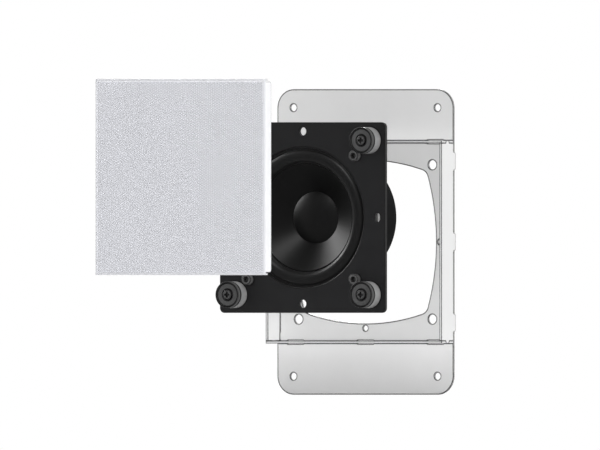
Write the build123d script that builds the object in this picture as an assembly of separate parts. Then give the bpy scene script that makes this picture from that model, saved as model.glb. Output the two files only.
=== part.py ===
"""Square in-wall loudspeaker, drawn apart: folded grille, driver unit and rough-in bracket.

Millimetres, with X to the right, Y to the back and Z up. The origin is the centre of the four
bracket screws, on the back face of the bracket plate. Each unit is drawn with its depths
counted from its own front face, and is then set in its place.
"""
from build123d import *
from math import asin, cos, radians, sin, sqrt
import os

# The two removable units stand off their seats: 1 is as pictured, 0 is pushed home
apart = 1.0
driver_unit_forward = 78.0
driver_unit_raised = 15.6
grille_forward = 222.2
grille_raised = 41.6

# Clearances and lands shared by several pieces
glue_gap = 0.1
thread_gap = 0.05
screw_clearance = 0.2
small_edge = 0.3

# Baffle plate
baffle_hole_radius = 45.1
baffle_sheet = 2.5
baffle_corner = 3.2
baffle_margin = 3.1
baffle_hole_chamfer = 0.4

# Driver screws and nuts, on the flange corners
driver_screw_land = 10.9
driver_screw_radius = 1.95
driver_head_radius = 3.5
driver_head_height = 4.0
driver_socket_flats = 3.0
driver_socket_depth = 2.0
driver_screw_end = 1.5
nut_flats = 7.0
nut_height = 3.2

# Grille magnets on their spacers, each held by one cross-head screw
magnet_radius = 8.5
magnet_to_head_gap = 1.86
cup_thickness = 3.0
cup_floor = 0.8
cup_rim = 0.9
cup_recess = 1.0
cup_magnet_bore_radius = 3.75
spacer_height = 8.5
spacer_neck_radius = 7.3
spacer_neck_height = 0.9
magnet_screw_radius = 1.5
magnet_screw_head_radius = 2.95
cross_width = 0.9
cross_length = 3.4
cross_depth = 1.2
clinch_nut_radius = 2.75
clinch_nut_height = 2.0
magnet_screw_end = 0.8

# Basket flange and the foam gasket before it
gasket_thickness = 0.8
flange_sheet = 2.0
flange_land = 6.1
flange_corner_land = 4.45
flange_corner_radius = 5.0

# Surround: a half roll between two flat lips
surround_edge_gap = 0.5
surround_sheet = 0.5
surround_outer_lip = 1.8
surround_inner_lip = 2.0
roll_radius = 3.7
roll_height = 2.8

# Cone, dust cap and voice coil
cone_sheet = 0.6
cone_drop = 1.6
cone_lip = 2.2
cone_lip_gap = 0.6
cone_depth = 15.6
former_radius = 13.0
former_wall = 0.3
former_stand = 0.5
coil_wall = 0.6
coil_overhang = 2.5
cap_radius = 16.6
cap_height = 4.6
cap_sheet = 0.4

# Spider: a corrugated cloth disc
spider_sheet = 0.4
spider_behind_neck = 2.5
spider_hole_gap = 0.2
spider_inner_lip = 1.6
spider_edge_gap = 1.6
spider_waves = 3
spider_wave_height = 0.9

# Basket wall, spider shelf and floor
basket_wall = 1.6
shelf_inner_radius = 28.4
shelf_width = 4.6
shelf_sheet = 1.5
basket_floor_depth = 9.5
basket_floor_sheet = 1.5
basket_floor_radius = 26.0
basket_floor_hole_radius = 18.0
window_count = 6
window_width = 23.0
window_corner = 2.5
window_end_land = 2.2

# Magnet system
top_plate_radius = 37.0
top_plate_sheet = 4.0
coil_gap = 0.35
pole_gap = 0.35
ring_radius = 39.8
ring_bore_radius = 17.5
ring_height = 15.0
ring_edge = 0.8
back_plate_radius = 37.0
back_plate_sheet = 4.0
back_plate_edge = 1.2

# Terminal board on a pad of the basket, with two solder tags
terminal_board_width = 15.0
terminal_board_length = 12.0
terminal_board_sheet = 1.5
terminal_pad_width = 10.0
terminal_pad_length = 8.0
terminal_wall_clearance = 0.2
terminal_from_flange = 2.7
tag_width = 4.8
tag_length = 16.0
tag_sheet = 0.8
tag_spacing = 8.0
tag_hole_radius = 0.9
tag_inset = 2.0

# Bracket plate
bracket_sheet = 1.5
bracket_corner = 12.0
bracket_flange_height = 32.75
bracket_hole_radius = 2.3
bracket_hole_inset = 11.8
opening_clearance = 1.0
opening_corner_radius = 6.0
clinch_hole_clearance = 0.25
side_hole_radius = 1.8
side_hole_land = 1.2
baffle_side_hole_radius = 2.75
baffle_slot_length = 5.8
baffle_slot_width = 4.0

# Collar: four walls tabbed into the plate, the upright ones tongued into the level ones
collar_clearance = 2.3
collar_wall = 1.7
collar_depth = 15.0
tab_width = 11.8
tab_from_end = 11.6
tab_edge = 1.2
tab_stand = 1.4
tab_clearance = 0.2
tongue_base = 4.2
tongue_top = 3.0
tongue_clearance = 0.15

# Grille: a perforated sheet folded to a shallow pan, with cloth behind it
grille_clearance = 0.5
grille_sheet = 1.2
grille_depth = 8.3
grille_bend = 1.5
grille_relief = 1.8
grille_flange_corner = 2.0
cloth_sheet = 0.3
cloth_clearance = 0.5
cloth_corner = 4.0
perforation_rows = 9
perforation_margin = 3.4
perforation_share = 0.68

# Places across the front, worked out from the driver outwards
screw_offset = (baffle_hole_radius + driver_screw_land) / sqrt(2)
magnet_offset = screw_offset + (magnet_radius + driver_head_radius + magnet_to_head_gap) / sqrt(2)
baffle_side = 2 * (magnet_offset + magnet_radius + baffle_margin)
flange_middle = baffle_hole_radius + flange_land
flange_corner = screw_offset + flange_corner_land
opening_middle = flange_middle + opening_clearance
opening_corner = flange_corner + opening_clearance
side_hole_offset = opening_middle + side_hole_land + side_hole_radius
collar_inside = baffle_side + 2 * collar_clearance
bracket_width = collar_inside + 2 * collar_wall
bracket_height = bracket_width + 2 * bracket_flange_height
grille_side = collar_inside - 2 * grille_clearance
tab_offset = collar_inside / 2 - tab_from_end

# Depths of the driver unit, counted from the front face of the baffle plate
flange_front = baffle_sheet + gasket_thickness
flange_back = flange_front + flange_sheet
lip_front = flange_front - surround_sheet
roll_crest = lip_front - roll_height
cone_front = lip_front + cone_drop
neck_front = cone_front + cone_depth
spider_front = neck_front + cone_sheet + spider_behind_neck
shelf_front = spider_front + spider_sheet
basket_back = shelf_front + basket_floor_depth
ring_front = basket_back + top_plate_sheet
ring_back = ring_front + ring_height
coil_middle = basket_back + top_plate_sheet / 2
coil_height = top_plate_sheet + 2 * coil_overhang
cup_front = -(spacer_height + cup_thickness)

# Radii of the driver unit
surround_radius = baffle_hole_radius - surround_edge_gap
roll_outer = surround_radius - surround_outer_lip
roll_inner = roll_outer - 2 * roll_radius
cone_radius = roll_inner - cone_lip_gap
cone_flat_radius = cone_radius - cone_lip
neck_radius = former_radius + glue_gap
coil_radius = former_radius + thread_gap + coil_wall
shelf_outer_radius = shelf_inner_radius + shelf_width
spider_radius = shelf_outer_radius - spider_edge_gap
cone_slope = cone_depth / (cone_flat_radius - neck_radius)
basket_slope = (roll_outer - shelf_outer_radius) / (shelf_front - flange_back)

# Place of the terminal board, whose front end clears the basket wall
terminal_start = flange_back + terminal_from_flange
terminal_middle = terminal_start + terminal_board_length / 2
terminal_reach = roll_outer - terminal_from_flange * basket_slope + basket_wall + terminal_wall_clearance

corners = [(1, 1), (-1, 1), (-1, -1), (1, -1)]


def at_depth(depth):
    """A plane that faces the front, this far behind a unit's front face."""
    return Plane.XZ.offset(-depth)


def plate(outline, front, thickness):
    """A flat outline given a thickness towards the back."""
    return extrude(at_depth(front) * outline, amount=-thickness)


def turned(*points):
    """A piece turned about the Y axis from corner points of radius and depth."""
    return revolve(make_face(Polyline(*points, close=True)), axis=Axis.Y)


def turned_lines(*lines):
    """A piece turned about the Y axis from a closed run of lines and arcs."""
    return revolve(make_face(Curve() + list(lines)), axis=Axis.Y)


def ring(inner, outer, front, thickness):
    """A plain ring or, with no inner radius, a disc."""
    back = front + thickness
    return turned((inner, front), (outer, front), (outer, back), (inner, back))


def bulged_square(middle, corner, radius):
    """Outline with four bowed sides, by its half-widths at the middle and at the corners."""
    bow = ThreePointArc((corner, -corner), (middle, 0), (corner, corner))
    face = make_face(Curve() + [Rot(0, 0, turn) * bow for turn in (0, 90, 180, 270)])
    return fillet(face.vertices(), radius)


def at_corners(offset):
    """The same place in the four corners."""
    return [(offset * x, offset * z) for x, z in corners]


def holes_at(places, radius):
    """Round holes at the given places of an outline."""
    return Sketch() + [Pos(*place) * Circle(radius) for place in places]


def cone_surface(radius):
    """Depth of the cone's front surface at a radius."""
    return cone_front + (cone_flat_radius - radius) * cone_slope


def make_baffle_plate():
    """Square front plate with the driver hole, fixing holes and side slots."""
    outline = RectangleRounded(baffle_side, baffle_side, baffle_corner)
    outline -= Circle(baffle_hole_radius)
    outline -= holes_at(at_corners(screw_offset), driver_screw_radius + screw_clearance)
    outline -= holes_at(at_corners(magnet_offset), magnet_screw_radius + screw_clearance)
    outline -= holes_at([(0, side_hole_offset), (0, -side_hole_offset)], baffle_side_hole_radius)
    for side in (1, -1):
        slot = Rot(0, 0, 90) * SlotOverall(baffle_slot_length, baffle_slot_width)
        outline -= Pos(side * side_hole_offset, 0) * slot
    solid = plate(outline, 0, baffle_sheet)
    rim = solid.edges().filter_by(GeomType.CIRCLE).group_by(SortBy.RADIUS)[-1].sort_by(Axis.Y)[0]
    return chamfer(rim, baffle_hole_chamfer)


def make_spacer():
    """Turned spacer with a narrow neck under the magnet cup."""
    bore = magnet_screw_radius + screw_clearance
    neck_end = spacer_neck_height - spacer_height
    return turned(
        (bore, -spacer_height),
        (spacer_neck_radius, -spacer_height),
        (spacer_neck_radius, neck_end),
        (magnet_radius, neck_end),
        (magnet_radius, 0),
        (bore, 0),
    )


def make_magnet_cup():
    """Steel cup that carries a ring magnet, open to the front."""
    back = -spacer_height
    return turned(
        (magnet_screw_radius + screw_clearance, back - cup_floor),
        (magnet_radius - cup_rim, back - cup_floor),
        (magnet_radius - cup_rim, cup_front),
        (magnet_radius - small_edge, cup_front),
        (magnet_radius, cup_front + small_edge),
        (magnet_radius, back),
        (magnet_screw_radius + screw_clearance, back),
    )


def make_cup_magnet():
    """Ring magnet that lies in the cup, below its rim."""
    front = cup_front + cup_recess
    back = -spacer_height - cup_floor
    return ring(cup_magnet_bore_radius, magnet_radius - cup_rim - glue_gap, front, back - front)


def make_magnet_screw():
    """Cross-head screw from the cup's floor through the spacer and the clinch nut."""
    seat = -spacer_height - cup_floor
    end = baffle_sheet + clinch_nut_height + magnet_screw_end
    solid = turned(
        (0, cup_front),
        (magnet_screw_head_radius - small_edge, cup_front),
        (magnet_screw_head_radius, cup_front + small_edge),
        (magnet_screw_head_radius, seat),
        (magnet_screw_radius, seat),
        (magnet_screw_radius, end),
        (0, end),
    )
    cross = Rectangle(cross_length, cross_width) + Rectangle(cross_width, cross_length)
    return solid - plate(cross, cup_front, cross_depth)


def make_clinch_nut():
    """Round nut fixed to the back of the baffle plate."""
    return ring(magnet_screw_radius + thread_gap, clinch_nut_radius, baffle_sheet, clinch_nut_height)


def make_driver_screw():
    """Socket-head screw from the baffle's front through the flange and its nut."""
    end = flange_back + nut_height + driver_screw_end
    solid = turned(
        (0, -driver_head_height),
        (driver_head_radius - small_edge, -driver_head_height),
        (driver_head_radius, small_edge - driver_head_height),
        (driver_head_radius, 0),
        (driver_screw_radius, 0),
        (driver_screw_radius, end),
        (0, end),
    )
    socket = RegularPolygon(driver_socket_flats / 2, 6, major_radius=False)
    return solid - plate(socket, -driver_head_height, driver_socket_depth)


def make_driver_nut():
    """Hexagon nut behind the basket flange."""
    hexagon = RegularPolygon(nut_flats / 2, 6, major_radius=False)
    return plate(hexagon - Circle(driver_screw_radius + thread_gap), flange_back, nut_height)


def flange_outline():
    """Outline of the basket flange, with its screw holes."""
    outline = bulged_square(flange_middle, flange_corner, flange_corner_radius)
    return outline - holes_at(at_corners(screw_offset), driver_screw_radius + screw_clearance)


def make_gasket():
    """Foam gasket between the baffle plate and the flange."""
    outline = flange_outline() - Circle(baffle_hole_radius + glue_gap)
    return plate(outline, baffle_sheet, gasket_thickness)


def make_basket():
    """Pressed frame: bowed flange, windowed wall, spider shelf, lower cup and terminal pad."""
    shelf_back = shelf_front + shelf_sheet
    floor_front = basket_back - basket_floor_sheet
    solid = plate(flange_outline() - Circle(roll_outer), flange_front, flange_sheet)
    solid += turned(
        (roll_outer, flange_back),
        (shelf_outer_radius, shelf_front),
        (shelf_inner_radius, shelf_front),
        (basket_floor_radius, floor_front),
        (basket_floor_hole_radius, floor_front),
        (basket_floor_hole_radius, basket_back),
        (basket_floor_radius + basket_wall, basket_back),
        (shelf_inner_radius + basket_wall, shelf_back),
        (shelf_outer_radius + basket_wall, shelf_back),
        (roll_outer + basket_wall, flange_back),
    )
    window_front = flange_back + window_end_land
    window_back = shelf_front - window_end_land
    window = RectangleRounded(window_width, window_back - window_front, window_corner)
    for index in range(window_count):
        turn = (index + 0.5) * 360 / window_count
        outward = (cos(radians(turn)), 0, sin(radians(turn)))
        across = (-sin(radians(turn)), 0, cos(radians(turn)))
        face = Plane(origin=(0, (window_front + window_back) / 2, 0), x_dir=across, z_dir=outward)
        solid -= extrude(face * window, amount=flange_middle)
    pad = Pos(terminal_middle, 0) * Rectangle(terminal_pad_length, terminal_pad_width)
    pad = extrude(Plane.YZ.offset(-terminal_reach) * pad, amount=terminal_reach - shelf_outer_radius)
    inside = turned(
        (0, flange_back),
        (roll_outer, flange_back),
        (shelf_outer_radius, shelf_front),
        (0, shelf_front),
    )
    return solid + (pad - inside)


def make_terminal_board():
    """Insulating board on the basket's pad."""
    board = Pos(terminal_middle, 0) * Rectangle(terminal_board_length, terminal_board_width)
    return extrude(Plane.YZ.offset(-terminal_reach) * board, amount=-terminal_board_sheet)


def make_tag(side):
    """Solder tag flat on the board, its end with a hole standing out past the board."""
    start = terminal_start + tag_inset
    tag = Pos(start + tag_length / 2, 0) * Rectangle(tag_length, tag_width)
    tag -= Pos(start + tag_length - tag_inset, 0) * Circle(tag_hole_radius)
    face = Plane.YZ.offset(-terminal_reach - terminal_board_sheet)
    return Pos(0, 0, side * tag_spacing / 2) * extrude(face * tag, amount=-tag_sheet)


def make_surround():
    """Half roll with an outer lip on the flange and an inner lip behind the cone's edge."""
    inner_front = cone_front + cone_sheet + glue_gap
    inner_back = inner_front + surround_sheet
    inner_edge = roll_inner - surround_inner_lip
    middle = (roll_outer + roll_inner) / 2
    return turned_lines(
        Line((surround_radius, lip_front), (roll_outer, lip_front)),
        ThreePointArc((roll_outer, lip_front), (middle, roll_crest), (roll_inner, inner_front)),
        Line((roll_inner, inner_front), (inner_edge, inner_front)),
        Line((inner_edge, inner_front), (inner_edge, inner_back)),
        Line((inner_edge, inner_back), (roll_inner + surround_sheet, inner_back)),
        ThreePointArc(
            (roll_inner + surround_sheet, inner_back),
            (middle, roll_crest + surround_sheet),
            (roll_outer - surround_sheet, flange_front),
        ),
        Line((roll_outer - surround_sheet, flange_front), (surround_radius, flange_front)),
        Line((surround_radius, flange_front), (surround_radius, lip_front)),
    )


def make_cone():
    """Straight cone with a flat lip at its edge and a neck on the coil former."""
    return turned(
        (cone_radius, cone_front),
        (cone_flat_radius, cone_front),
        (neck_radius, neck_front),
        (neck_radius, neck_front + cone_sheet),
        (cone_flat_radius, cone_front + cone_sheet),
        (cone_radius, cone_front + cone_sheet),
    )


def make_dust_cap():
    """Shallow dome glued to the cone."""
    rim = cone_surface(cap_radius) - glue_gap
    dome_radius = (cap_radius**2 + cap_height**2) / (2 * cap_height)
    centre = rim - cap_height + dome_radius
    inner_dome = dome_radius - cap_sheet
    inner_radius = sqrt(inner_dome**2 - (centre - rim) ** 2)
    outer_turn = asin(cap_radius / dome_radius) / 2
    inner_turn = asin(inner_radius / inner_dome) / 2
    outer_middle = (dome_radius * sin(outer_turn), centre - dome_radius * cos(outer_turn))
    inner_middle = (inner_dome * sin(inner_turn), centre - inner_dome * cos(inner_turn))
    return turned_lines(
        Line((0, centre - dome_radius), (0, centre - inner_dome)),
        ThreePointArc((0, centre - inner_dome), inner_middle, (inner_radius, rim)),
        Line((inner_radius, rim), (cap_radius, rim)),
        ThreePointArc((cap_radius, rim), outer_middle, (0, centre - dome_radius)),
    )


def make_former():
    """Thin tube that carries the voice coil."""
    front = neck_front - former_stand
    back = coil_middle + coil_height / 2 + former_stand
    return ring(former_radius - former_wall, former_radius, front, back - front)


def make_voice_coil():
    """Winding on the former, in the magnet gap."""
    return ring(former_radius + thread_gap, coil_radius, coil_middle - coil_height / 2, coil_height)


def make_spider():
    """Corrugated disc from the former to the basket's shelf."""
    inner = former_radius + spider_hole_gap
    wave_start = inner + spider_inner_lip
    wave_end = shelf_inner_radius
    step = (wave_end - wave_start) / (2 * spider_waves)
    front = [(inner, 0), (wave_start, 0)]
    for index in range(spider_waves):
        crest = wave_start + (2 * index + 0.5) * step
        front += [(crest, -spider_wave_height), (crest + step, spider_wave_height)]
    front += [(wave_end, 0), (spider_radius, 0)]
    face = [(radius, depth + spider_front) for radius, depth in front]
    back = [(radius, depth + spider_sheet) for radius, depth in reversed(face)]
    return turned(*face, *back)


def make_top_plate():
    """Steel ring round the voice coil, against the basket's floor."""
    return ring(coil_radius + coil_gap, top_plate_radius, basket_back, top_plate_sheet)


def make_magnet_ring():
    """Ferrite ring with bevelled edges."""
    return turned(
        (ring_bore_radius, ring_front),
        (ring_radius - ring_edge, ring_front),
        (ring_radius, ring_front + ring_edge),
        (ring_radius, ring_back - ring_edge),
        (ring_radius - ring_edge, ring_back),
        (ring_bore_radius, ring_back),
    )


def make_back_plate():
    """Steel plate and pole in one piece, the pole reaching into the coil."""
    pole = former_radius - former_wall - pole_gap
    back = ring_back + back_plate_sheet
    return turned(
        (0, basket_back),
        (pole, basket_back),
        (pole, ring_back),
        (back_plate_radius, ring_back),
        (back_plate_radius, back - back_plate_edge),
        (back_plate_radius - back_plate_edge, back),
        (0, back),
    )


def make_bracket_plate():
    """Back plate of the rough-in bracket, with the driver opening and the collar's slots."""
    outline = RectangleRounded(bracket_width, bracket_height, bracket_corner)
    outline -= bulged_square(opening_middle, opening_corner, opening_corner_radius)
    hole_x = bracket_width / 2 - bracket_hole_inset
    hole_z = bracket_height / 2 - bracket_hole_inset
    outline -= holes_at([(x * hole_x, z * hole_z) for x, z in corners], bracket_hole_radius)
    outline -= holes_at(at_corners(magnet_offset), clinch_nut_radius + clinch_hole_clearance)
    for turn in (0, 90, 180, 270):
        outline -= Rot(0, 0, turn) * Pos(side_hole_offset, 0) * Circle(side_hole_radius)
    slot_length = tab_width + 2 * tab_clearance
    slot_width = collar_wall + 2 * tab_clearance
    wall_middle = (collar_inside + collar_wall) / 2
    for side in (1, -1):
        for place in (-tab_offset, 0, tab_offset):
            outline -= Pos(place, side * wall_middle) * Rectangle(slot_length, slot_width)
            outline -= Pos(side * wall_middle, place) * Rectangle(slot_width, slot_length)
    return plate(outline, -bracket_sheet, bracket_sheet)


def tab_outline(stand):
    """A tab that leaves the wall's back edge, with bevelled corners."""
    half = tab_width / 2
    edge = min(tab_edge, stand / 2)
    return Polygon(
        (0, -half), (stand - edge, -half), (stand, edge - half),
        (stand, half - edge), (stand - edge, half), (0, half),
        align=None,
    )


def tongue_outline(spare):
    """The tongue at an upright wall's end, or with some spare the notch for it."""
    base = tongue_base / 2 + spare
    top = tongue_top / 2 + spare
    return Polygon((-base, 0), (base, 0), (top, collar_wall), (-top, collar_wall), align=None)


def make_upright_wall():
    """Right-hand wall of the collar, standing between the level ones."""
    half = collar_inside / 2
    front = -bracket_sheet - collar_depth
    outline = Pos(front + collar_depth / 2, 0) * Rectangle(collar_depth, collar_inside)
    for place in (-tab_offset, 0, tab_offset):
        outline += Pos(-bracket_sheet, place) * tab_outline(bracket_sheet + tab_stand)
    tongue = Pos(front + collar_depth / 2, half) * tongue_outline(0)
    outline += [tongue, mirror(tongue, about=Plane.XZ)]
    return Pos(half, 0, 0) * extrude(Plane.YZ * outline, amount=collar_wall)


def make_level_wall():
    """Top wall of the collar, over the ends of the upright ones; its tabs end flush."""
    half = collar_inside / 2
    front = -bracket_sheet - collar_depth
    outline = Pos(0, front + collar_depth / 2) * Rectangle(bracket_width, collar_depth)
    for place in (-tab_offset, 0, tab_offset):
        outline += Pos(place, -bracket_sheet) * Rot(0, 0, 90) * tab_outline(bracket_sheet)
    wall = extrude(Pos(0, 0, half) * outline, amount=collar_wall)
    notch = Pos(front + collar_depth / 2, half) * tongue_outline(tongue_clearance)
    notch_side = Plane.YZ.offset(half - tongue_clearance)
    notch = extrude(notch_side * notch, amount=collar_wall + tongue_clearance)
    return wall - [notch, mirror(notch, about=Plane.YZ)]


def perforation():
    """Staggered field of holes for the grille's face."""
    pitch = (grille_side - 2 * perforation_margin) / perforation_rows
    hole = RegularPolygon(pitch * perforation_share / 2, 6)
    holes = []
    for row in range(perforation_rows):
        count = perforation_rows - row % 2
        for column in range(count):
            place = ((column - (count - 1) / 2) * pitch, (row - (perforation_rows - 1) / 2) * pitch)
            holes.append(Pos(*place) * hole)
    return Sketch() + holes


def make_grille():
    """Perforated sheet folded back on four sides, relieved where the flanges meet."""
    pan = plate(Rectangle(grille_side, grille_side), 0, grille_depth)
    pan = fillet(pan.edges().group_by(Axis.Y)[0], grille_bend)
    inside = grille_side - 2 * grille_sheet
    hollow = plate(Rectangle(inside, inside), grille_sheet, grille_depth)
    pan -= fillet(hollow.edges().group_by(Axis.Y)[0], grille_bend - grille_sheet)
    relief_depth = grille_depth - grille_bend
    relief = Box(2 * grille_relief, 2 * relief_depth, 2 * grille_relief)
    for x, z in corners:
        pan -= Pos(x * grille_side / 2, grille_depth, z * grille_side / 2) * relief
    last = pan.edges().group_by(Axis.Y)[-1]
    ends = [edge for edge in last if edge.length < 2 * grille_sheet]
    pan = fillet(ends, grille_flange_corner)
    return pan - plate(perforation(), 0, grille_sheet)


def make_cloth():
    """Acoustic cloth on the grille's inner face."""
    side = grille_side - 2 * grille_sheet - 2 * cloth_clearance
    return plate(RectangleRounded(side, side, cloth_corner), grille_sheet, cloth_sheet)


def bracket_parts():
    """Pieces of the rough-in bracket, where they are used."""
    upright = make_upright_wall()
    level = make_level_wall()
    return {
        "bracket_plate": make_bracket_plate(),
        "collar_right": upright,
        "collar_left": mirror(upright, about=Plane.YZ),
        "collar_top": level,
        "collar_bottom": mirror(level, about=Plane.XY),
    }


def driver_parts():
    """Pieces of the driver unit, from the baffle plate's front face."""
    parts = {
        "baffle_plate": make_baffle_plate(),
        "driver_gasket": make_gasket(),
        "basket": make_basket(),
        "surround": make_surround(),
        "cone": make_cone(),
        "dust_cap": make_dust_cap(),
        "coil_former": make_former(),
        "voice_coil": make_voice_coil(),
        "spider": make_spider(),
        "top_plate": make_top_plate(),
        "magnet_ring": make_magnet_ring(),
        "back_plate": make_back_plate(),
        "terminal_board": make_terminal_board(),
        "terminal_tag_upper": make_tag(1),
        "terminal_tag_lower": make_tag(-1),
    }
    at_magnets = {
        "spacer": make_spacer(),
        "magnet_cup": make_magnet_cup(),
        "cup_magnet": make_cup_magnet(),
        "magnet_screw": make_magnet_screw(),
        "clinch_nut": make_clinch_nut(),
    }
    at_flange = {"driver_screw": make_driver_screw(), "driver_nut": make_driver_nut()}
    for repeated, offset in ((at_magnets, magnet_offset), (at_flange, screw_offset)):
        for name, solid in repeated.items():
            for number, (x, z) in enumerate(at_corners(offset), start=1):
                parts[f"{name}_{number}"] = Pos(x, 0, z) * solid
    return parts


def grille_parts():
    """Pieces of the grille, from its front face."""
    return {"grille": make_grille(), "grille_cloth": make_cloth()}


def placed(parts, seat, forward, raised):
    """Parts moved to their seat and then apart from it."""
    place = Pos(0, seat - forward * apart, raised * apart)
    return {name: place * solid for name, solid in parts.items()}


def all_parts():
    """Every piece by its name, in its place."""
    driver_seat = -bracket_sheet - baffle_sheet
    grille_seat = driver_seat + cup_front - cloth_sheet - grille_sheet
    parts = bracket_parts()
    parts |= placed(driver_parts(), driver_seat, driver_unit_forward, driver_unit_raised)
    parts |= placed(grille_parts(), grille_seat, grille_forward, grille_raised)
    return parts


os.makedirs("parts", exist_ok=True)
for part_name, part_solid in all_parts().items():
    export_step(part_solid, f"parts/{part_name}.step")
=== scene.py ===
"""Looks of the square in-wall loudspeaker, drawn apart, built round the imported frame. Metres.

X is to the right, Y to the back and Z up, as in the part. The grille, its cloth, the surround, the
cone and the spider are modelled here. Every other piece keeps its own solid and gets a finish.
"""
import math

import bmesh
import bpy
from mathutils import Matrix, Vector
from mathutils.geometry import tessellate_polygon
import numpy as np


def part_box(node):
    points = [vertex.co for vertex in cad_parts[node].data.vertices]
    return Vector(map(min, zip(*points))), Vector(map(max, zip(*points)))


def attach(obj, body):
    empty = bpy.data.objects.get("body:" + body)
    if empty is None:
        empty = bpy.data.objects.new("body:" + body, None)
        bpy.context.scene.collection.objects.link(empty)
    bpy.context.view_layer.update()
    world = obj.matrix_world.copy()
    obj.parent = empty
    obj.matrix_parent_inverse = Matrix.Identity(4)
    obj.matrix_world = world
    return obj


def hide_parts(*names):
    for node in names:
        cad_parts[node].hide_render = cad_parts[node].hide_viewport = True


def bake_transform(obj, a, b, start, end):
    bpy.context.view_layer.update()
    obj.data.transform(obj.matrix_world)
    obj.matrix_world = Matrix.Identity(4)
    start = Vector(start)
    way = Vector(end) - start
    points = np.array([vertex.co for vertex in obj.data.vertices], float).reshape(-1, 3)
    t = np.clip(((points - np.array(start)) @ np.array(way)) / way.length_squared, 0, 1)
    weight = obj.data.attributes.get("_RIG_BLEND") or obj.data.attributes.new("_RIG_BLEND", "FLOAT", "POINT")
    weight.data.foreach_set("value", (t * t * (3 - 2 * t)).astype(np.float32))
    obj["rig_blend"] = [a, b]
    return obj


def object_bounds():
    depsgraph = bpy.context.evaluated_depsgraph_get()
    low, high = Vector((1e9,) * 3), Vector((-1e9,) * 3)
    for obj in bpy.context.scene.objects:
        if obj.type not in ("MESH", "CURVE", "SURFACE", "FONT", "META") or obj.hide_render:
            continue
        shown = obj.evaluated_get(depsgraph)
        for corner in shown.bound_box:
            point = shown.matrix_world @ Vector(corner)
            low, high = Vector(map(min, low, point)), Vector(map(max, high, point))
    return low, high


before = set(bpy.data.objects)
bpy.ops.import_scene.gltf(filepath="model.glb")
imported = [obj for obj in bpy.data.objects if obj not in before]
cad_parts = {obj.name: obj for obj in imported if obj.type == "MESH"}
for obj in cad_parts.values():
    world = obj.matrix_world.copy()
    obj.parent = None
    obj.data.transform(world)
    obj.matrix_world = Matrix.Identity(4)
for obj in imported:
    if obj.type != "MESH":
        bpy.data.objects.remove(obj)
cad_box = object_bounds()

MM = 0.001

# The photograph's view: straight on in height, 30 degrees round to the right, without perspective
photo_width = 600
photo_pixel = 0.64 * MM
view_turn = math.radians(30)
view_across = -42.63 * MM
view_height = 10.85 * MM
camera_distance = 1.2

# Grille: the folded sheet, its fine perforation and the cloth behind it
grille_sheet = 1.2 * MM
grille_flat_land = 1.5 * MM
hole_corners = 6
hole_pitch = 1.58 * MM
hole_radius = 0.48 * MM
field_land = 0.1 * MM
cloth_wave = 0.02 * MM
cloth_cells = 48

# A folded face whose normal leans to the front by more than this gets the bends' darker tone, painted shade
bend_share = 0.3

# Turns of the cloth's waves along X and Z, in radians to the metre
cloth_turns_x = 180
cloth_turns_z = 140

# Distances that count as nothing when the grille's points are joined and compared
weld_distance = 0.001 * MM
slack = 0.01 * MM

# Driver, as radii from its axis and depths behind the baffle's front face
surround_radius = 44.6 * MM
roll_outer = 43.5 * MM
roll_inner = 34.9 * MM
surround_inner_edge = 34.05 * MM
surround_sheet = 0.5 * MM
lip_depth = 2.8 * MM
inner_lip_depth = 5.1 * MM
roll_steps = 14
cone_radius = 34.55 * MM
cone_flat_radius = 34.0 * MM
cone_cap_radius = 16.6 * MM
cone_neck_radius = 13.1 * MM
cone_rim_depth = 4.4 * MM
cone_cap_depth = 17.2 * MM
cone_neck_depth = 20.0 * MM
cone_sheet = 0.6 * MM
spider_sheet = 0.4 * MM
spider_inner = 13.2 * MM
spider_wave_start = 14.8 * MM
spider_wave_end = 28.4 * MM
spider_radius = 31.4 * MM
spider_depth = 23.1 * MM
spider_waves = 3
spider_wave_height = 0.9 * MM
spider_steps = 72
round_steps = 192

# The spider's waves grow from nothing over one part in this many at either end
spider_ease = 6

# Readings between which a finish passes from one tone to another: of the noise, of the mottling, of
# a rounded normal against the plain one, of ambient occlusion, for painted shade in joints, and of a
# normal's Y, for painted shade on what faces the front
noise_low, noise_high = 0.3, 0.7
mottle_low, mottle_high = 0.35, 0.65
edge_normal, flat_normal = 0.98, 0.998
closed_joint, open_joint = 0.55, 0.85
front_normal, side_normal = -0.95, -0.8

# Shading
ray_samples = 8
broad_grains = 40
broad_detail = 4.0
rough_spread = 0.05

# Light and floor
to_camera = (0.5, -0.866, 0)
to_back = (-0.5, 0.8, 0.35)
room_strength = 0.25
floor_reach = 4.0
floor_gap = 0.1 * MM


def new_piece(name, points, faces, material, smooth=math.radians(35)):
    """A closed mesh made into a piece, smooth but for its sharp edges."""
    mesh = bpy.data.meshes.new(name)
    mesh.from_pydata(points, [], faces)
    shape = bmesh.new()
    shape.from_mesh(mesh)
    bmesh.ops.recalc_face_normals(shape, faces=shape.faces)
    shape.to_mesh(mesh)
    shape.free()
    mesh.shade_smooth()
    mesh.set_sharp_from_angle(angle=smooth)
    piece = bpy.data.objects.new(name, mesh)
    bpy.context.scene.collection.objects.link(piece)
    mesh.materials.append(material)
    return piece


def add_node(tree, kind, **settings):
    """A shader node with its settings."""
    made = tree.nodes.new("ShaderNode" + kind)
    for key, value in settings.items():
        setattr(made, key, value)
    return made


def noise(tree, size, detail=3.0):
    """Noise in the piece's own space, with grains of about this size."""
    place = add_node(tree, "TexCoord")
    made = add_node(tree, "TexNoise")
    made.inputs["Scale"].default_value = 1 / size
    made.inputs["Detail"].default_value = detail
    tree.links.new(place.outputs["Object"], made.inputs["Vector"])
    return made.outputs["Fac"]


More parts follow.
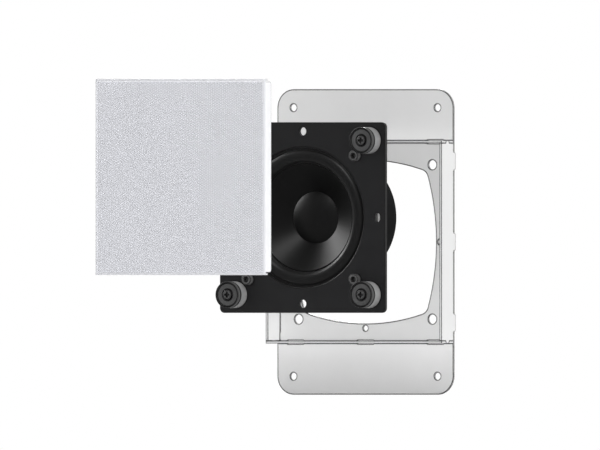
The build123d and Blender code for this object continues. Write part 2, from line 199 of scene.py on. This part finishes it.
def spread(tree, value, low, high, start=noise_low, end=noise_high):
    """A value taken from the range start to end into the range low to high."""
    made = add_node(tree, "MapRange")
    made.inputs["From Min"].default_value = start
    made.inputs["From Max"].default_value = end
    made.inputs["To Min"].default_value = low
    made.inputs["To Max"].default_value = high
    tree.links.new(value, made.inputs["Value"])
    return made.outputs["Result"]


def calculate(tree, kind, first, second):
    """The result of one sum on two values, each a number or a node's output."""
    made = add_node(tree, "Math", operation=kind)
    for socket, value in zip(made.inputs, (first, second)):
        if isinstance(value, (int, float)):
            socket.default_value = value
        else:
            tree.links.new(value, socket)
    return made.outputs[0]


def mixed(tree, share, first, second):
    """One colour passing into another with the share; each is three numbers or a node's output."""
    made = add_node(tree, "Mix", data_type="RGBA")
    tree.links.new(share, made.inputs["Factor"])
    for socket, colour in zip([s for s in made.inputs if s.type == "RGBA"], (first, second)):
        if isinstance(colour, tuple):
            socket.default_value = (*colour, 1)
        else:
            tree.links.new(colour, socket)
    return next(s for s in made.outputs if s.type == "RGBA")


def softened(tree, radius):
    """The surface's normal with its edges rounded."""
    made = add_node(tree, "Bevel", samples=ray_samples)
    made.inputs["Radius"].default_value = radius
    return made.outputs["Normal"]


def edges(tree, width):
    """How near a point is to an edge of its piece, from 0 to 1."""
    plain = add_node(tree, "NewGeometry")
    dot = add_node(tree, "VectorMath", operation="DOT_PRODUCT")
    tree.links.new(softened(tree, width), dot.inputs[0])
    tree.links.new(plain.outputs["Normal"], dot.inputs[1])
    return spread(tree, dot.outputs["Value"], 1, 0, edge_normal, flat_normal)


def painted_joint_shade(tree, reach):
    """Painted shade in joints and narrow gaps, taken from ambient occlusion, from 0 to 1."""
    made = add_node(tree, "AmbientOcclusion", samples=ray_samples)
    made.inputs["Distance"].default_value = reach
    return spread(tree, made.outputs["AO"], 1, 0, closed_joint, open_joint)


def along(tree, vector, axis):
    """One of the three parts of a vector."""
    made = add_node(tree, "SeparateXYZ")
    tree.links.new(vector, made.inputs[0])
    return made.outputs[axis]


def front_shade_mask(tree):
    """How squarely a point's surface looks to the front, from 0 to 1, as a mask for painted shade."""
    plain = add_node(tree, "NewGeometry")
    return spread(tree, along(tree, plain.outputs["Normal"], "Y"), 1, 0, front_normal, side_normal)


def bands(tree, axis, pitch):
    """Waves along one axis of the piece's own space, from 0 to 1."""
    place = along(tree, add_node(tree, "TexCoord").outputs["Object"], axis)
    wave = calculate(tree, "SINE", calculate(tree, "MULTIPLY", place, 2 * math.pi / pitch), 0)
    return spread(tree, wave, 0, 1, -1, 1)


def weave(tree, pitch):
    """Crossed threads in the piece's X and Z, from 0 to 1."""
    return calculate(tree, "MULTIPLY", bands(tree, "X", pitch), bands(tree, "Z", pitch))


def finish(name, colour, rough, grain=0.5 * MM, relief=0.02 * MM, mottle=0.06, soft=0.3 * MM,
           edge=None, edge_width=1.0 * MM, joint_shade=None, joint_shade_reach=1.2 * MM, front=None,
           metallic=0.0, specular=0.5, sheen=0.0, pattern=None, pattern_relief=0.0):
    """A finish with fine grain, broad mottling and soft edges, and a pattern in relief if it has one.

    The colour edge lies along its edges. The other two colours are painted shade: one in its joints and
    narrow gaps, the other on what faces the front.
    """
    material = bpy.data.materials.new(name)
    material.use_nodes = True
    tree = material.node_tree
    shader = tree.nodes["Principled BSDF"]
    shader.inputs["Metallic"].default_value = metallic
    shader.inputs["Specular IOR Level"].default_value = specular
    shader.inputs["Sheen Weight"].default_value = sheen
    fine = noise(tree, grain)
    broad = noise(tree, broad_grains * grain, broad_detail)
    mean = calculate(tree, "MULTIPLY", calculate(tree, "ADD", fine, broad), 0.5)
    dark = tuple(c * (1 - mottle) for c in colour)
    light = tuple(c * (1 + mottle) for c in colour)
    paint = mixed(tree, spread(tree, mean, 0, 1, mottle_low, mottle_high), dark, light)
    if edge:
        paint = mixed(tree, edges(tree, edge_width), paint, edge)
    # Painted shade: the colour darkens joints and narrow gaps where ambient occlusion is deep
    if joint_shade:
        paint = mixed(tree, painted_joint_shade(tree, joint_shade_reach), paint, joint_shade)
    # Painted shade: the colour darkens the faces that look to the front
    if front:
        paint = mixed(tree, front_shade_mask(tree), paint, front)
    tree.links.new(paint, shader.inputs["Base Color"])
    roughness = spread(tree, fine, rough - rough_spread, rough + rough_spread)
    tree.links.new(roughness, shader.inputs["Roughness"])
    height = add_node(tree, "Bump")
    height.inputs["Strength"].default_value = 1.0
    height.inputs["Distance"].default_value = relief
    tree.links.new(fine, height.inputs["Height"])
    if soft:
        tree.links.new(softened(tree, soft), height.inputs["Normal"])
    if pattern:
        raised = add_node(tree, "Bump")
        raised.inputs["Distance"].default_value = pattern_relief
        tree.links.new(pattern(tree), raised.inputs["Height"])
        tree.links.new(height.outputs["Normal"], raised.inputs["Normal"])
        height = raised
    tree.links.new(height.outputs["Normal"], shader.inputs["Normal"])
    return material


def grey(tone):
    """A colour without hue."""
    return (tone, tone, tone)


def make_finishes():
    """Every finish by its name."""
    # The two dark colours below serve as lines along edges and as painted shade in joints and gaps
    black = grey(0.002)
    grey_line_and_shade = grey(0.03)
    pale_line = (0.45, 0.45, 0.46)
    # Darker copies of the grille's white paint for its front-leaning bends, its face and its hole walls:
    # painted shade
    shaded_sheet = dict(rough=0.6, mottle=0.005, relief=0.004 * MM, specular=0.25, soft=None)
    light_coat = dict(colour=grey(0.73), rough=0.5, mottle=0.015, relief=0.006 * MM,
                      edge=grey_line_and_shade, joint_shade=grey_line_and_shade)
    # Colours given for joints and gaps are painted shade there; those given for edges are dark lines along
    # them
    settings = {
        "grille_paint": dict(colour=(0.86, 0.865, 0.88), rough=0.6, mottle=0.012, relief=0.004 * MM,
                             specular=0.25, edge=pale_line, edge_width=0.9 * MM),
        "grille_bend": dict(shaded_sheet, colour=(0.64, 0.645, 0.675)),
        "grille_face_shaded": dict(shaded_sheet, colour=(0.583, 0.588, 0.618)),
        "hole_wall_shaded": dict(shaded_sheet, colour=(0.7, 0.705, 0.73)),
        "cloth": dict(colour=(0.8, 0.8, 0.84), rough=0.9, mottle=0.05, sheen=0.3, soft=None,
                      pattern=lambda tree: weave(tree, pitch=0.7 * MM), pattern_relief=0.08 * MM),
        "bracket_paint": dict(light_coat, edge_width=1.5 * MM),
        "collar_paint": light_coat,
        "black_paint": dict(colour=(0.0105, 0.0105, 0.011), rough=0.5, grain=0.35 * MM,
                            relief=0.012 * MM, mottle=0.12, specular=0.13, edge=black, joint_shade=black),
        "basket_paint": dict(colour=grey(0.012), rough=0.42, grain=0.4 * MM, relief=0.015 * MM,
                             mottle=0.12, specular=0.3),
        "foam": dict(colour=grey(0.014), rough=0.9, grain=0.3 * MM, relief=0.08 * MM, specular=0.1),
        "rubber": dict(colour=grey(0.005), rough=0.36, grain=0.25 * MM, relief=0.004 * MM, mottle=0.1,
                       specular=0.12, sheen=0.02, joint_shade=black, joint_shade_reach=0.9 * MM),
        "cone": dict(colour=grey(0.002), rough=0.38, grain=0.3 * MM, relief=0.006 * MM, mottle=0.15,
                     specular=0.085, joint_shade=black, joint_shade_reach=0.9 * MM),
        "dust_cap": dict(colour=grey(0.003), rough=0.36, grain=0.3 * MM, relief=0.004 * MM, mottle=0.15,
                         specular=0.1, joint_shade=black),
        "former": dict(colour=(0.6, 0.6, 0.61), rough=0.3, metallic=1.0, relief=0.002 * MM),
        "coil_wire": dict(colour=(0.55, 0.24, 0.1), rough=0.3, metallic=1.0, relief=0.001 * MM,
                          pattern=lambda tree: bands(tree, "Y", pitch=0.3 * MM),
                          pattern_relief=0.05 * MM),
        "spider_cloth": dict(colour=(0.32, 0.2, 0.08), rough=0.7, mottle=0.12, sheen=0.1, soft=None,
                             pattern=lambda tree: weave(tree, pitch=0.9 * MM), pattern_relief=0.1 * MM),
        "zinc": dict(colour=(0.6, 0.6, 0.59), rough=0.34, mottle=0.08, metallic=0.8, relief=0.01 * MM),
        "plated_steel": dict(colour=(0.022, 0.022, 0.023), rough=0.38, mottle=0.15, specular=0.35),
        "ferrite": dict(colour=(0.006, 0.006, 0.0062), rough=0.6, grain=0.6 * MM, relief=0.03 * MM,
                        mottle=0.3, specular=0.03, edge=black, edge_width=1.1 * MM),
        "board": dict(colour=(0.09, 0.045, 0.02), rough=0.5, mottle=0.15, relief=0.01 * MM,
                      pattern=lambda tree: bands(tree, "Z", pitch=0.5 * MM), pattern_relief=0.01 * MM),
        "tag": dict(colour=(0.62, 0.6, 0.55), rough=0.28, metallic=1.0, mottle=0.08, relief=0.01 * MM),
        "spacer": dict(colour=grey(0.24), rough=0.4, relief=0.006 * MM, specular=0.4,
                       edge=black, edge_width=0.9 * MM, joint_shade=black),
        # The cup's faces that look to the front, the floor of the gap round the screw among them, are
        # painted black as shade
        "cup": dict(colour=grey(0.085), rough=0.6, mottle=0.12, specular=0.12, soft=0.15 * MM,
                    edge=black, edge_width=0.8 * MM, joint_shade=black, front=black),
        "magnet_face": dict(colour=grey(0.06), rough=0.55, relief=0.03 * MM, mottle=0.4, specular=0.2,
                            edge=black, edge_width=1.2 * MM, joint_shade=black),
        "dark_screw": dict(colour=grey(0.085), rough=0.5, mottle=0.15, specular=0.2,
                           edge=black, edge_width=1.1 * MM, joint_shade=black, joint_shade_reach=2 * MM),
        "screw": dict(colour=grey(0.4), rough=0.32, metallic=0.9, mottle=0.1, relief=0.01 * MM),
        "floor_paint": dict(colour=grey(0.9), rough=0.8, grain=4 * MM, relief=0.05 * MM, mottle=0.01,
                            specular=0.1),
    }
    return {name: finish(name, **values) for name, values in settings.items()}


def dress_nodes(finishes):
    """Gives every node of the frame its finish."""
    by_name = {
        "grille": "grille_paint", "grille_cloth": "cloth", "baffle_plate": "black_paint",
        "driver_gasket": "foam", "basket": "basket_paint", "surround": "rubber", "cone": "cone",
        "dust_cap": "dust_cap", "coil_former": "former", "voice_coil": "coil_wire",
        "spider": "spider_cloth", "top_plate": "zinc", "magnet_ring": "ferrite",
        "back_plate": "plated_steel", "terminal_board": "board", "terminal_tag": "tag",
        "spacer": "spacer", "magnet_cup": "cup", "cup_magnet": "magnet_face",
        "magnet_screw": "dark_screw", "clinch_nut": "screw", "driver_screw": "dark_screw",
        "driver_nut": "screw", "bracket_plate": "bracket_paint", "collar": "collar_paint",
    }
    for name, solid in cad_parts.items():
        kind = name if name in by_name else name.rsplit("_", 1)[0]
        for place in solid.material_slots:
            place.material = finishes[by_name[kind]]


def rim_loops(faces):
    """The open edges of a set of faces, joined into loops of point numbers."""
    steps = {(a, b) for face in faces for a, b in zip(face, face[1:] + face[:1])}
    after = {a: b for a, b in steps if (b, a) not in steps}
    loops = []
    while after:
        start, here = after.popitem()
        loop = [start]
        while here != start:
            loop.append(here)
            here = after.pop(here)
        loops.append(loop)
    return loops


def hexagon(x, z, radius):
    """Corners of a hexagon, from the one on its right and up round it."""
    turns = [2 * math.pi * index / hole_corners for index in range(hole_corners)]
    return [(x + radius * math.cos(turn), z + radius * math.sin(turn)) for turn in turns]


def hole_places(half):
    """Column, row and centre of each staggered hole that fills a square field, from its middle."""
    reach = half - hole_radius
    columns = int(reach / (hole_pitch * math.sqrt(3) / 2))
    rows = int(reach / hole_pitch)
    for column in range(-columns, columns + 1):
        shift = 0.5 * (column % 2)
        for row in range(-rows, rows + 1 - column % 2):
            yield column, row, column * reach / columns, (row + shift) * reach / rows


def folded_rim(solid, middle, flat_half, front):
    """Points and faces of the grille's bends and flanges, without its flat face."""
    shape = bmesh.new()
    shape.from_mesh(solid.data)
    bmesh.ops.remove_doubles(shape, verts=shape.verts, dist=weld_distance)

    def in_flat(point):
        across = max(abs(point.x - middle.x), abs(point.z - middle.z))
        return across < flat_half + slack and point.y < front + grille_sheet + slack

    flat = [face for face in shape.faces if all(in_flat(vert.co) for vert in face.verts)]
    bmesh.ops.delete(shape, geom=flat, context="FACES")
    shape.verts.index_update()
    points = [tuple(vert.co) for vert in shape.verts]
    faces = [[vert.index for vert in face.verts] for face in shape.faces]
    shape.free()
    return points, faces


def pierce(points, faces, middle, half, front):
    """Adds the points and the walls of every hole, and returns where each hole's points start."""
    first = {}
    for column, row, x, z in hole_places(half):
        start = first[column, row] = len(points)
        ring = hexagon(middle.x + x, middle.z + z, hole_radius)
        for y in (front, front + grille_sheet):
            points += [(a, y, b) for a, b in ring]
        behind = start + hole_corners
        for corner in range(hole_corners):
            ahead = (corner + 1) % hole_corners
            faces.append([start + corner, start + ahead, behind + ahead, behind + corner])
    return first


def web_between(first, side):
    """Faces of the sheet between neighbouring holes on one side, and the holes' own outlines."""
    web = []
    outlines = []
    for (column, row), start in first.items():
        here = start + hole_corners * side
        outlines.append(list(range(here, here + hole_corners)))
        odd = column % 2
        above, upper, lower = (
            first[place] + hole_corners * side if place in first else None
            for place in ((column, row + 1), (column + 1, row + odd), (column + 1, row + odd - 1))
        )
        if above:
            web.append([here + 1, above + 5, above + 4, here + 2])
        if upper:
            web.append([here, upper + 4, upper + 3, here + 1])
        if lower:
            web.append([here + 5, lower + 3, lower + 2, here])
        if above and upper:
            web.append([here + 1, upper + 3, above + 5])
        if upper and lower:
            web.append([here, lower + 2, upper + 4])
    return web, outlines


def make_grille(finishes):
    """The folded sheet with its fine staggered perforation."""
    low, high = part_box("grille")
    middle = (low + high) / 2
    front = low.y
    flat_half = (high.x - low.x) / 2 - grille_flat_land
    points, faces = folded_rim(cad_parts["grille"], middle, flat_half, front)
    rims = rim_loops(faces)
    folded = len(faces)
    first = pierce(points, faces, middle, flat_half - field_land, front)
    walls_end = len(faces)
    for side, y in enumerate((front, front + grille_sheet)):
        web, outlines = web_between(first, side)
        faces += web
        rim = next(loop for loop in rims if abs(points[loop[0]][1] - y) < slack)
        field = rim_loops(web + outlines)[0]
        both = rim + field
        loops = [[Vector(points[index]) for index in loop] for loop in (rim, field)]
        faces += [[both[index] for index in corner] for corner in tessellate_polygon(loops)]
    grille = new_piece("perforated_grille", points, faces, finishes["grille_paint"])
    # The flat face, the hole walls and the front-leaning bends take darker copies of the white paint, as
    # painted shade
    tones = ["grille_paint", "grille_bend", "grille_face_shaded", "hole_wall_shaded"]
    for name in tones[1:]:
        grille.data.materials.append(finishes[name])
    for face in grille.data.polygons:
        if face.index >= walls_end:
            face.material_index = tones.index("grille_face_shaded")
            face.use_smooth = False
        elif face.index >= folded:
            face.material_index = tones.index("hole_wall_shaded")
        elif face.normal.y < -bend_share:
            face.material_index = tones.index("grille_bend")
    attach(grille, "root")
    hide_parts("grille")
    return grille


def make_cloth(finishes, grille):
    """The thin cloth behind the perforation, stretched over the grille's inner face."""
    low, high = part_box("grille_cloth")
    points = []
    for y in (low.y, high.y):
        for row in range(cloth_cells + 1):
            for column in range(cloth_cells + 1):
                x = low.x + (high.x - low.x) * column / cloth_cells
                z = low.z + (high.z - low.z) * row / cloth_cells
                wave = math.sin(x * cloth_turns_x) * math.sin(z * cloth_turns_z)
                points.append((x, y + cloth_wave * wave, z))
    wide = cloth_cells + 1
    back = wide * wide
    faces = []
    for row in range(cloth_cells):
        for column in range(cloth_cells):
            corner = row * wide + column
            quad = [corner, corner + 1, corner + wide + 1, corner + wide]
            faces.append(quad)
            faces.append([index + back for index in reversed(quad)])
    sheet = [face for face in faces if max(face) < back]
    for loop in rim_loops(sheet):
        for a, b in zip(loop, loop[1:] + loop[:1]):
            faces.append([b, a, a + back, b + back])
    cloth = new_piece("grille_fabric", points, faces, finishes["cloth"])
    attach(cloth, "root")
    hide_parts("grille_cloth")


def turned_ring(profile, axis, front):
    """Points and faces of a closed profile of radius and depth, turned about the driver's axis."""
    points = []
    for step in range(round_steps):
        turn = 2 * math.pi * step / round_steps
        for radius, depth in profile:
            x, z = radius * math.cos(turn), radius * math.sin(turn)
            points.append((axis.x + x, front + depth, axis.z + z))
    count = len(profile)
    faces = []
    for step in range(round_steps):
        here, ahead = step * count, (step + 1) % round_steps * count
        for index in range(count):
            after = (index + 1) % count
            faces.append([here + index, here + after, ahead + after, ahead + index])
    return points, faces


def bend_with_cone(piece, axis, outer, inner):
    """Lets a ring follow the frame at its outer edge and the cone at its inner one, eased between."""
    start = (axis.x + outer, axis.y, axis.z)
    end = (axis.x + inner, axis.y, axis.z)
    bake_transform(piece, "root", "cone_assembly", start=start, end=end)
    weights = piece.data.attributes["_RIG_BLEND"]
    for vert, weight in zip(piece.data.vertices, weights.data):
        radius = math.hypot(vert.co.x - axis.x, vert.co.z - axis.z)
        share = min(max((outer - radius) / (outer - inner), 0), 1)
        weight.value = share * share * (3 - 2 * share)


def make_surround(finishes, axis, front):
    """The rubber half roll with its two lips, which crests level with the baffle's front face."""
    middle = (roll_outer + roll_inner) / 2
    half = (roll_outer - roll_inner) / 2

    def roll(reach, behind):
        places = []
        for index in range(2 * roll_steps + 1):
            turn = math.pi * index / (2 * roll_steps)
            lip = lip_depth if index <= roll_steps else inner_lip_depth
            places.append((middle + reach * math.cos(turn), lip - lip * math.sin(turn) + behind))
        return places

    outside = [(surround_radius, lip_depth), *roll(half, 0), (surround_inner_edge, inner_lip_depth)]
    inside = [
        (surround_inner_edge, inner_lip_depth + surround_sheet),
        *reversed(roll(half - surround_sheet, surround_sheet)),
        (surround_radius, lip_depth + surround_sheet),
    ]
    points, faces = turned_ring(outside + inside, axis, front)
    piece = new_piece("surround_roll", points, faces, finishes["rubber"],
                      smooth=math.radians(50))
    bend_with_cone(piece, axis, roll_outer, roll_inner)
    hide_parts("surround")


def make_cone(finishes, axis, front):
    """The moulded cone with its narrow flat edge."""
    outside = [
        (cone_radius, cone_rim_depth), (cone_flat_radius, cone_rim_depth),
        (cone_cap_radius, cone_cap_depth), (cone_neck_radius, cone_neck_depth),
    ]
    inside = [(radius, depth + cone_sheet) for radius, depth in reversed(outside)]
    points, faces = turned_ring(outside + inside, axis, front)
    piece = new_piece("moulded_cone", points, faces, finishes["cone"])
    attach(piece, "cone_assembly")
    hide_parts("cone")


def make_spider(finishes, axis, front):
    """The corrugated cloth disc behind the cone."""
    places = [(spider_inner, spider_depth)]
    for index in range(spider_steps + 1):
        share = index / spider_steps
        radius = spider_wave_start + share * (spider_wave_end - spider_wave_start)
        ease = min(1, spider_ease * share, spider_ease * (1 - share))
        wave = math.sin(2 * math.pi * spider_waves * share)
        places.append((radius, spider_depth - ease * spider_wave_height * wave))
    places.append((spider_radius, spider_depth))
    back = [(radius, depth + spider_sheet) for radius, depth in reversed(places)]
    points, faces = turned_ring(places + back, axis, front)
    piece = new_piece("spider_disc", points, faces, finishes["spider_cloth"],
                      smooth=math.radians(60))
    bend_with_cone(piece, axis, spider_wave_end, spider_wave_start)
    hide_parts("spider")


def aim(thing, direction):
    """Turns a lamp or camera so that it looks along a direction."""
    thing.rotation_euler = Vector(direction).to_track_quat("-Z", "Y").to_euler()


def add_camera():
    """The camera at the photograph's angle, scale and framing."""
    right = Vector((math.cos(view_turn), math.sin(view_turn), 0))
    ahead = Vector((-math.sin(view_turn), math.cos(view_turn), 0))
    low, high = cad_box
    depth = ahead.dot((Vector(low) + Vector(high)) / 2)
    data = bpy.data.cameras.new("camera")
    data.type = "ORTHO"
    data.ortho_scale = photo_width * photo_pixel
    camera = bpy.data.objects.new("camera", data)
    camera.location = right * view_across + ahead * (depth - camera_distance)
    camera.location.z = view_height
    aim(camera, ahead)
    bpy.context.scene.collection.objects.link(camera)
    bpy.context.scene.camera = camera


def add_sun(name, towards, strength, size, shadow=True, gloss=True, colour=True):
    """A distant lamp in this direction from the object, for its gloss, its colour or both."""
    data = bpy.data.lights.new(name, "SUN")
    data.energy = strength
    data.angle = math.radians(size)
    data.use_shadow = shadow
    lamp = bpy.data.objects.new(name, data)
    aim(lamp, -Vector(towards))
    lamp.visible_glossy = gloss
    lamp.visible_diffuse = colour
    bpy.context.scene.collection.objects.link(lamp)


def add_light():
    """A pale room before a white background, plain lamps on four sides, and lamps for gloss only."""
    world = bpy.data.worlds.new("room")
    bpy.context.scene.world = world
    world.use_nodes = True
    tree = world.node_tree
    room = tree.nodes["Background"]
    room.inputs["Color"].default_value = (1, 1, 1, 1)
    room.inputs["Strength"].default_value = room_strength
    white = add_node(tree, "Background")
    white.inputs["Color"].default_value = (1, 1, 1, 1)
    white.inputs["Strength"].default_value = 1.0
    rays = add_node(tree, "LightPath")
    seen = calculate(tree, "MAXIMUM", rays.outputs["Is Camera Ray"], rays.outputs["Is Glossy Ray"])
    seen = calculate(tree, "MAXIMUM", seen, rays.outputs["Is Transmission Ray"])
    choose = add_node(tree, "MixShader")
    tree.links.new(seen, choose.inputs["Fac"])
    tree.links.new(room.outputs[0], choose.inputs[1])
    tree.links.new(white.outputs[0], choose.inputs[2])
    tree.links.new(choose.outputs[0], tree.nodes["World Output"].inputs["Surface"])
    add_sun("front_light", to_camera, 1.56, 1, gloss=False)
    add_sun("right_light", (0.97, -0.1, 0.2), 0.95, 20, shadow=False, gloss=False)
    add_sun("back_light", to_back, 1.8, 15, shadow=False, gloss=False)
    add_sun("back_highlight", to_back, 2.0, 15, colour=False)
    add_sun("top_light", (0.1, -0.07, 0.98), 1.3, 8, gloss=False)
    add_sun("left_highlight", (-0.905, 0.128, 0.405), 3.4, 22, shadow=False, colour=False)
    add_sun("high_highlight", (0.28, -0.56, 0.78), 2.0, 22, shadow=False, colour=False)
    add_sun("rim_highlight", (0.38, 0.29, 0.88), 1.2, 20, shadow=False, colour=False)
    add_sun("edge_highlight", (0.5, 0.866, 0.1), 0.12, 10, shadow=False, colour=False)


def add_floor(finishes):
    """A plain pale floor under the bracket."""
    level = cad_box[0][2] - floor_gap
    corners = ((-1, -1), (1, -1), (1, 1), (-1, 1))
    points = [(floor_reach * x, floor_reach * y, level) for x, y in corners]
    mesh = bpy.data.meshes.new("floor")
    mesh.from_pydata(points, [], [(0, 1, 2, 3)])
    floor = bpy.data.objects.new("floor", mesh)
    bpy.context.scene.collection.objects.link(floor)
    mesh.materials.append(finishes["floor_paint"])


add_camera()
bpy.context.scene.view_settings.view_transform = "Standard"
finishes = make_finishes()
dress_nodes(finishes)
make_cloth(finishes, make_grille(finishes))

# The driver sits in the middle of the baffle plate
baffle_low, baffle_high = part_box("baffle_plate")
driver_axis = (baffle_low + baffle_high) / 2
make_surround(finishes, driver_axis, baffle_low.y)
make_cone(finishes, driver_axis, baffle_low.y)
make_spider(finishes, driver_axis, baffle_low.y)
add_light()
add_floor(finishes)
